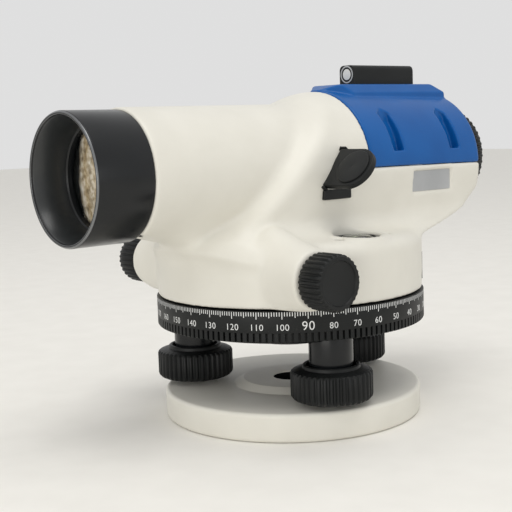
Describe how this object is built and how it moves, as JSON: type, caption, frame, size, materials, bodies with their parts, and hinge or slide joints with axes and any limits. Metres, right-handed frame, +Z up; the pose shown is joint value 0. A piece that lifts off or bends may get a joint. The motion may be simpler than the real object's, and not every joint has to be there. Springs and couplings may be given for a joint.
{
  "type": "automatic surveying level",
  "caption": "Self-levelling surveying level: telescope on a turning body with graduated circle, bubble, fine-motion knobs and a three-screw levelling base.",
  "frame": {"origin": "centre of the tripod thread at the base plate's underside, on the vertical axis", "axes": "+Z up along the vertical axis, telescope along Y with its objective towards -Y and eyepiece towards +Y, circular bubble and mirror on the +X side"},
  "size_m": [0.1278, 0.2112, 0.142],
  "materials": {
    "alloy": "machined",
    "black_metal": "black semi-gloss anodise",
    "black_plastic": "moulded, matte with light wear sheen",
    "brass": "turned",
    "casting_white": "satin paint, fine orange-peel",
    "cover_blue": "moulded, satin gloss",
    "felt": "pressed felt",
    "glass": "polished, coated",
    "label_grey": "printed foil, blank",
    "mirror": "silvered",
    "steel": "turned"
  },
  "bodies": {
    "base": {"base_plate": "casting_white", "base_seats": "brass", "ball_retainers": "black_metal"},
    "swivel_a": {"swivel_cup": "brass"},
    "swivel_c": {"dust_ring": "felt"},
    "tribrach": {"tribrach": "black_metal", "foot_bushes": "brass", "axis_sleeve": "steel", "circle_washer": "felt", "circle_retainer": "steel"},
    "circle": {"horizontal_circle": "black_plastic"},
    "clutch_wheel": {"worm_wheel": "brass"},
    "alidade": {"housing": "casting_white", "lower_cover": "black_metal", "top_cover": "cover_blue", "spindle": "steel", "spindle_nut": "brass", "spindle_screws": "steel", "objective_hood": "black_metal", "objective_lens": "glass", "objective_retainer": "black_metal", "focus_guide": "alloy", "focus_bush": "brass", "comp_frame": "alloy", "comp_prisms": "glass", "reticle_mount": "black_metal", "reticle": "glass", "eyepiece_mount": "black_metal", "vial_holder": "alloy", "vial": "glass", "vial_screws": "steel", "mirror_bracket": "black_plastic", "tangent_bushes": "brass", "name_plate": "label_grey", "reading_window": "black_plastic", "sight_body": "black_plastic", "sight_glass": "glass"},
    "tangent_drive": {"tangent_shaft": "steel", "tangent_knobs": "black_plastic"},
    "focus_drive": {"focus_shaft": "steel", "focus_knob": "black_plastic"},
    "focus_slide": {"focus_carrier": "alloy", "focus_lens": "glass"},
    "pendulum": {"comp_pendulum": "alloy", "comp_prism_moving": "glass", "comp_wires": "steel"},
    "dioptre": {"dioptre_ring": "black_plastic"},
    "ocular": {"ocular_barrel": "alloy", "ocular_lenses": "glass"},
    "mirror": {"mirror_arm": "black_plastic", "mirror_glass": "mirror"},
    "foot_a": {"foot_ball_a": "steel"},
    "screw_a": {"foot_spindle_a": "steel", "foot_knob_a": "black_plastic"},
    "foot_b": {"foot_ball_b": "steel"},
    "screw_b": {"foot_spindle_b": "steel", "foot_knob_b": "black_plastic"},
    "foot_c": {"foot_ball_c": "steel"},
    "screw_c": {"foot_spindle_c": "steel", "foot_knob_c": "black_plastic"}
  },
  "joints": [
    {"name": "tilt_at_c", "type": "hinge", "parent": "base", "child": "swivel_a", "pos_m": [-0.00721, 0.04087, 0.0082], "axis": [-0.342, -0.9397, 0], "range_deg": [-1.47, 1.47]},
    {"name": "tilt_at_b", "type": "hinge", "parent": "swivel_a", "child": "swivel_c", "pos_m": [0.039, -0.01419, 0.0082], "axis": [-0.6428, 0.766, 0], "range_deg": [-1.47, 1.47]},
    {"name": "tilt_at_a", "type": "hinge", "parent": "swivel_c", "child": "tribrach", "pos_m": [-0.03179, -0.02668, 0.0082], "axis": [0.9848, 0.1736, 0], "range_deg": [-1.47, 1.47]},
    {"name": "foot_rise_a", "type": "slide", "parent": "tribrach", "child": "foot_a", "axis": [0, 0, 1], "range_m": [-0.0016, 0.0016]},
    {"name": "foot_turn_a", "type": "hinge", "parent": "foot_a", "child": "screw_a", "pos_m": [-0.00721, 0.04087, 0.0192], "axis": [0, 0, 1], "range_deg": [-720, 720]},
    {"name": "foot_rise_b", "type": "slide", "parent": "tribrach", "child": "foot_b", "axis": [0, 0, 1], "range_m": [-0.0016, 0.0016]},
    {"name": "foot_turn_b", "type": "hinge", "parent": "foot_b", "child": "screw_b", "pos_m": [-0.03179, -0.02668, 0.0192], "axis": [0, 0, 1], "range_deg": [-720, 720]},
    {"name": "foot_rise_c", "type": "slide", "parent": "tribrach", "child": "foot_c", "axis": [0, 0, 1], "range_m": [-0.0016, 0.0016]},
    {"name": "foot_turn_c", "type": "hinge", "parent": "foot_c", "child": "screw_c", "pos_m": [0.039, -0.01419, 0.0192], "axis": [0, 0, 1], "range_deg": [-720, 720]},
    {"name": "circle_turn", "type": "hinge", "parent": "tribrach", "child": "circle", "pos_m": [0, 0, 0.0445], "axis": [0, 0, 1], "continuous": true},
    {"name": "coarse_turn", "type": "hinge", "parent": "tribrach", "child": "clutch_wheel", "pos_m": [0, 0, 0.062], "axis": [0, 0, 1], "continuous": true},
    {"name": "fine_turn", "type": "hinge", "parent": "clutch_wheel", "child": "alidade", "pos_m": [0, 0, 0.062], "axis": [0, 0, 1], "continuous": true},
    {"name": "tangent_turn", "type": "hinge", "parent": "alidade", "child": "tangent_drive", "pos_m": [0, -0.0324, 0.0621], "axis": [1, 0, 0], "continuous": true},
    {"name": "focus_turn", "type": "hinge", "parent": "alidade", "child": "focus_drive", "pos_m": [-0.03, 0.024, 0.0894], "axis": [1, 0, 0], "range_deg": [-95.4, 95.4]},
    {"name": "focus_travel", "type": "slide", "parent": "alidade", "child": "focus_slide", "axis": [0, 1, 0], "range_m": [-0.008, 0.008]},
    {"name": "pendulum_swing", "type": "hinge", "parent": "alidade", "child": "pendulum", "pos_m": [0, 0.045, 0.1203], "axis": [1, 0, 0], "range_deg": [-0.5, 0.5]},
    {"name": "dioptre_turn", "type": "hinge", "parent": "alidade", "child": "dioptre", "pos_m": [0, 0.095, 0.1012], "axis": [0, 1, 0], "range_deg": [-150, 150]},
    {"name": "ocular_travel", "type": "slide", "parent": "alidade", "child": "ocular", "axis": [0, 1, 0], "range_m": [-0.001, 0.001]},
    {"name": "mirror_fold", "type": "hinge", "parent": "alidade", "child": "mirror", "pos_m": [0.0328, -0.0036, 0.1004], "axis": [0, -0.6293, -0.7771], "range_deg": [0, 75]}
  ],
  "couplings": [
    {"joint": "foot_rise_a", "follows": "foot_turn_a", "m_per_rad": 0.00012732},
    {"joint": "tilt_at_a", "follows": "foot_turn_a", "ratio": -0.0020454},
    {"joint": "foot_rise_b", "follows": "foot_turn_b", "m_per_rad": 0.00012732},
    {"joint": "tilt_at_b", "follows": "foot_turn_b", "ratio": -0.0020454},
    {"joint": "foot_rise_c", "follows": "foot_turn_c", "m_per_rad": 0.00012732},
    {"joint": "tilt_at_c", "follows": "foot_turn_c", "ratio": -0.0020454},
    {"joint": "tangent_turn", "follows": "fine_turn", "ratio": 68},
    {"joint": "focus_travel", "follows": "focus_turn", "m_per_rad": -0.0048},
    {"joint": "ocular_travel", "follows": "dioptre_turn", "m_per_rad": 0.00038197}
  ]
}
